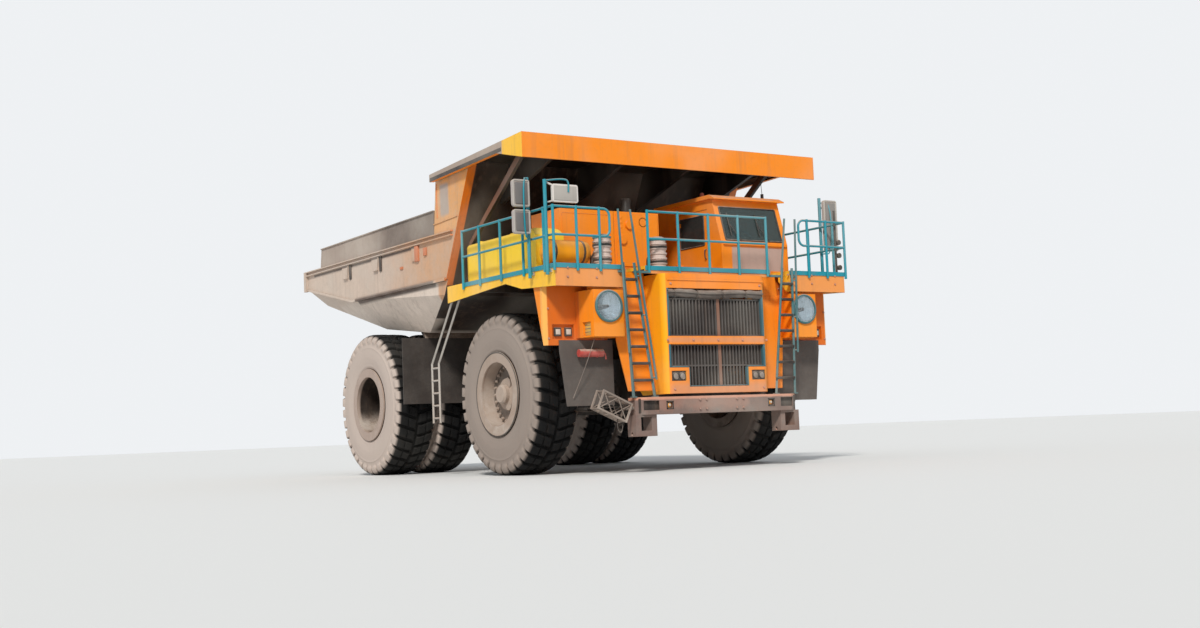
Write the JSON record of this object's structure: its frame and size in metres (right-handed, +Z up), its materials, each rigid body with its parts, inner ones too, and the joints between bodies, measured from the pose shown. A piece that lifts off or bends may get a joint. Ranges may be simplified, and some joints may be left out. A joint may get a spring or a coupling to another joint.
{
  "type": "mining dump truck",
  "caption": "Rigid mining dump truck with a tipping rock body and canopy, side cab, decks with railings, steered front wheels and twin rear wheels.",
  "frame": {"origin": "on the ground, below the middle of the overall length and width", "axes": "+Z up, +Y towards the tail, so the front faces -Y, and +X to the truck's left, where the cab is"},
  "size_m": [7.6, 11.61, 6.1595],
  "materials": {
    "orange_paint": "satin",
    "yellow_paint": "satin",
    "teal_paint": "satin",
    "dusty_body": "matt",
    "dark_frame": "matt",
    "grey_metal": "matt",
    "machined_rod": "polished",
    "tyre_rubber": "matt",
    "flap_rubber": "matt",
    "rim_paint": "matt",
    "red_paint": "satin",
    "roll_cover": "matt",
    "lens": "clear",
    "window": "clear",
    "trim_plastic": "matt",
    "rail_grey": "satin"
  },
  "bodies": {
    "chassis": {"frame_rails": "dark_frame", "front_axle_beam": "dark_frame", "rear_axle_housing": "dark_frame", "suspension_struts": "grey_metal", "engine_block": "dark_frame", "radiator_housing": "orange_paint", "grille": "grey_metal", "cover_roll": "roll_cover", "bumper": "grey_metal", "folded_steps": "grey_metal", "headlamp_pods": "orange_paint", "lamps": "lens", "front_fenders": "orange_paint", "front_mudflaps": "flap_rubber", "front_canister": "red_paint", "decks": "yellow_paint", "railings": "teal_paint", "front_ladders": "teal_paint", "ladder_panels": "orange_paint", "side_ladder": "rail_grey", "cab_shell": "orange_paint", "cab_glass": "window", "cab_interior": "trim_plastic", "deck_tanks": "yellow_paint", "control_cabinets": "orange_paint", "air_cleaners": "grey_metal", "mirrors": "grey_metal", "fuel_tank": "dark_frame"},
    "dump_body": {"body_floor": "dusty_body", "body_sides": "dusty_body", "body_front_wall": "dusty_body", "canopy": "orange_paint", "body_beams": "dusty_body", "spill_boards": "dusty_body", "rear_mudflaps": "flap_rubber"},
    "door_right": {"cab_door_right": "orange_paint"},
    "door_left": {"cab_door_left": "orange_paint"},
    "tie_rod": {"tie_rod": "dark_frame"},
    "hoist_barrel_right": {"hoist_barrel_right": "grey_metal"},
    "hoist_stage_right": {"hoist_stage_right": "grey_metal"},
    "hoist_rod_right": {"hoist_rod_right": "machined_rod"},
    "knuckle_right": {"knuckle_right": "dark_frame"},
    "front_wheel_right": {"front_tyre_right": "tyre_rubber", "front_rim_right": "rim_paint"},
    "rear_wheels_right": {"rear_tyres_right": "tyre_rubber", "rear_rims_right": "rim_paint"},
    "hoist_barrel_left": {"hoist_barrel_left": "grey_metal"},
    "hoist_stage_left": {"hoist_stage_left": "grey_metal"},
    "hoist_rod_left": {"hoist_rod_left": "machined_rod"},
    "knuckle_left": {"knuckle_left": "dark_frame"},
    "front_wheel_left": {"front_tyre_left": "tyre_rubber", "front_rim_left": "rim_paint"},
    "rear_wheels_left": {"rear_tyres_left": "tyre_rubber", "rear_rims_left": "rim_paint"}
  },
  "joints": [
    {"name": "body_tip", "type": "hinge", "parent": "chassis", "child": "dump_body", "pos_m": [0, 3.605, 2.75], "axis": [-1, 0, 0], "range_deg": [0, 50]},
    {"name": "hoist_swing_right", "type": "hinge", "parent": "chassis", "child": "hoist_barrel_right", "pos_m": [-0.98, 0.605, 1.2], "axis": [-1, 0, 0], "range_deg": [0, 25.68]},
    {"name": "hoist_stage_slide_right", "type": "slide", "parent": "hoist_barrel_right", "child": "hoist_stage_right", "axis": [0, -0.2384, 0.9712], "range_m": [0, 1.3085]},
    {"name": "hoist_rod_slide_right", "type": "slide", "parent": "hoist_stage_right", "child": "hoist_rod_right", "axis": [0, -0.2384, 0.9712], "range_m": [0, 1.3085]},
    {"name": "hoist_swing_left", "type": "hinge", "parent": "chassis", "child": "hoist_barrel_left", "pos_m": [0.98, 0.605, 1.2], "axis": [-1, 0, 0], "range_deg": [0, 25.68]},
    {"name": "hoist_stage_slide_left", "type": "slide", "parent": "hoist_barrel_left", "child": "hoist_stage_left", "axis": [0, -0.2384, 0.9712], "range_m": [0, 1.3085]},
    {"name": "hoist_rod_slide_left", "type": "slide", "parent": "hoist_stage_left", "child": "hoist_rod_left", "axis": [0, -0.2384, 0.9712], "range_m": [0, 1.3085]},
    {"name": "steer_right", "type": "hinge", "parent": "chassis", "child": "knuckle_right", "pos_m": [-1.88, -2.895, 1.53], "axis": [0, 0, 1], "range_deg": [-35, 35]},
    {"name": "front_wheel_spin_right", "type": "hinge", "parent": "knuckle_right", "child": "front_wheel_right", "pos_m": [-2.61, -2.895, 1.53], "axis": [1, 0, 0], "continuous": true},
    {"name": "rear_wheel_spin_right", "type": "hinge", "parent": "chassis", "child": "rear_wheels_right", "pos_m": [-2.34, 2.405, 1.53], "axis": [1, 0, 0], "continuous": true},
    {"name": "steer_left", "type": "hinge", "parent": "chassis", "child": "knuckle_left", "pos_m": [1.88, -2.895, 1.53], "axis": [0, 0, 1], "range_deg": [-35, 35]},
    {"name": "front_wheel_spin_left", "type": "hinge", "parent": "knuckle_left", "child": "front_wheel_left", "pos_m": [2.61, -2.895, 1.53], "axis": [1, 0, 0], "continuous": true},
    {"name": "rear_wheel_spin_left", "type": "hinge", "parent": "chassis", "child": "rear_wheels_left", "pos_m": [2.34, 2.405, 1.53], "axis": [1, 0, 0], "continuous": true},
    {"name": "tie_rod_pin", "type": "hinge", "parent": "knuckle_right", "child": "tie_rod", "pos_m": [-1.88, -2.375, 1.14], "axis": [0, 0, 1], "range_deg": [-35, 35]},
    {"name": "door_right_swing", "type": "hinge", "parent": "chassis", "child": "door_right", "pos_m": [0.774, -3.595, 4.4], "axis": [0, 0, -1], "range_deg": [0, 60]},
    {"name": "door_left_swing", "type": "hinge", "parent": "chassis", "child": "door_left", "pos_m": [2.476, -3.595, 4.4], "axis": [0, 0, 1], "range_deg": [0, 60]}
  ],
  "couplings": [
    {"joint": "hoist_swing_right", "follows": "body_tip", "ratio": 0.51331},
    {"joint": "hoist_stage_slide_right", "follows": "body_tip", "m_per_rad": 1.4989},
    {"joint": "hoist_rod_slide_right", "follows": "body_tip", "m_per_rad": 1.4989},
    {"joint": "hoist_swing_left", "follows": "body_tip", "ratio": 0.51331},
    {"joint": "hoist_stage_slide_left", "follows": "body_tip", "m_per_rad": 1.4989},
    {"joint": "hoist_rod_slide_left", "follows": "body_tip", "m_per_rad": 1.4989},
    {"joint": "steer_left", "follows": "steer_right", "ratio": 1},
    {"joint": "tie_rod_pin", "follows": "steer_right", "ratio": -1}
  ]
}
